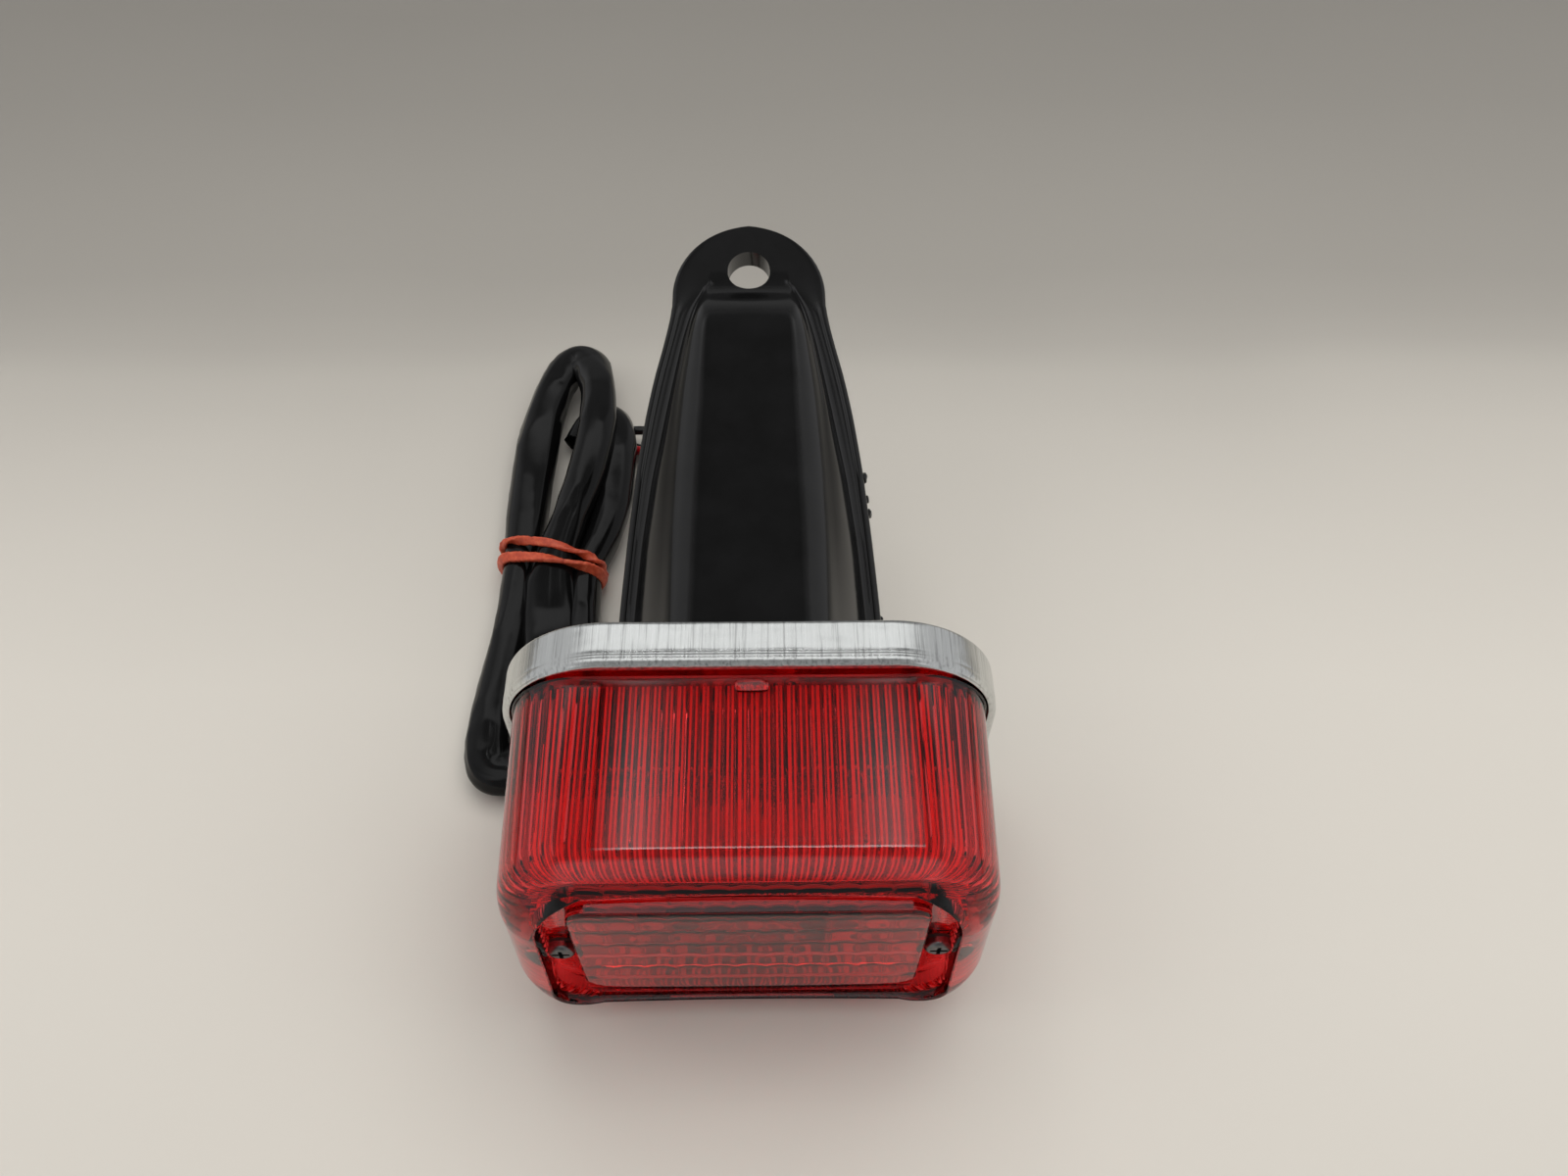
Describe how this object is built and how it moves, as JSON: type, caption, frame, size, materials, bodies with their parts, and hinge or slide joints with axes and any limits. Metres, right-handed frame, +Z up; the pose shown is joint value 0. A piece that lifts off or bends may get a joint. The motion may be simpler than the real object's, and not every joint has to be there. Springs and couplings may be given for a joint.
{
  "type": "motorcycle tail light",
  "caption": "Rounded rectangular red tail light in a bright pressed base pan, on a tapering black moulded bracket with one bolt hole, with its wiring tied in a hank.",
  "frame": {"origin": "on the surface the lamp stands on, under the middle of the lamp and bracket (wiring left out)", "axes": "+Z up, lens faces -Y, bracket rises towards +Y, +X to the right seen from the lens"},
  "size_m": [0.1034, 0.1723, 0.0662],
  "materials": {
    "zinc_plate": "bright zinc plate, faint draw marks",
    "red_lens": "clear red moulded plastic, polished",
    "clear_window": "clear moulded plastic",
    "black_moulding": "black moulded plastic, polished",
    "foam_gasket": "closed cell foam",
    "plated_screw": "zinc plated steel screw",
    "fibre": "fibre washer",
    "bulb_glass": "clear glass",
    "brass": "nickelled brass cap",
    "solder": "solder pip",
    "tungsten": "filament and supports",
    "phenolic": "brown insulating board",
    "spring_steel": "spring wire",
    "grommet_rubber": "moulded rubber",
    "pvc_black": "glossy PVC insulation",
    "pvc_red": "glossy PVC insulation",
    "sleeve_pvc": "glossy soft PVC sleeve",
    "rubber_red": "natural rubber band",
    "connector_sleeve": "crimped bullet in a clear boot"
  },
  "bodies": {
    "root": {"base_pan": "zinc_plate", "bracket": "black_moulding", "lens_gasket": "foam_gasket", "lens_screw_nuts": "zinc_plate", "bulb_holder": "zinc_plate", "contact_spring": "spring_steel", "wire_grommet": "grommet_rubber", "bracket_screws": "plated_screw", "bracket_screw_washers": "plated_screw", "bracket_screw_nuts": "plated_screw", "earth_terminal": "brass", "lead_black": "pvc_black", "lead_red": "pvc_red", "lead_earth": "pvc_black", "harness_bundle": "sleeve_pvc", "rubber_band": "rubber_red", "sleeve_tail": "sleeve_pvc", "tail_red": "pvc_red", "tail_black": "pvc_black", "tail_earth": "pvc_black", "bullet_red": "connector_sleeve", "bullet_black": "connector_sleeve", "bullet_earth": "connector_sleeve"},
    "lens": {"lens": "red_lens", "plate_window": "clear_window", "lens_screws": "plated_screw", "lens_screw_washers": "fibre"},
    "bulb": {"bulb_glass": "bulb_glass", "bulb_cap": "brass", "bulb_pins": "brass", "bulb_filaments": "tungsten", "bulb_contacts": "solder"},
    "contact_plate": {"contact_disc": "phenolic", "contact_buttons": "brass"}
  },
  "joints": [
    {"name": "lens_off", "type": "slide", "parent": "root", "child": "lens", "axis": [0, -1, 0], "range_m": [0, 0.07]},
    {"name": "bulb_push", "type": "slide", "parent": "root", "child": "bulb", "axis": [0, 1, 0], "range_m": [0, 0.0022], "stiffness_N_per_m": 1500},
    {"name": "plate_push", "type": "slide", "parent": "root", "child": "contact_plate", "axis": [0, 1, 0], "range_m": [0, 0.0022], "stiffness_N_per_m": 800, "deforming": ["contact_spring"]}
  ],
  "couplings": [
    {"joint": "plate_push", "follows": "bulb_push", "ratio": 1}
  ]
}
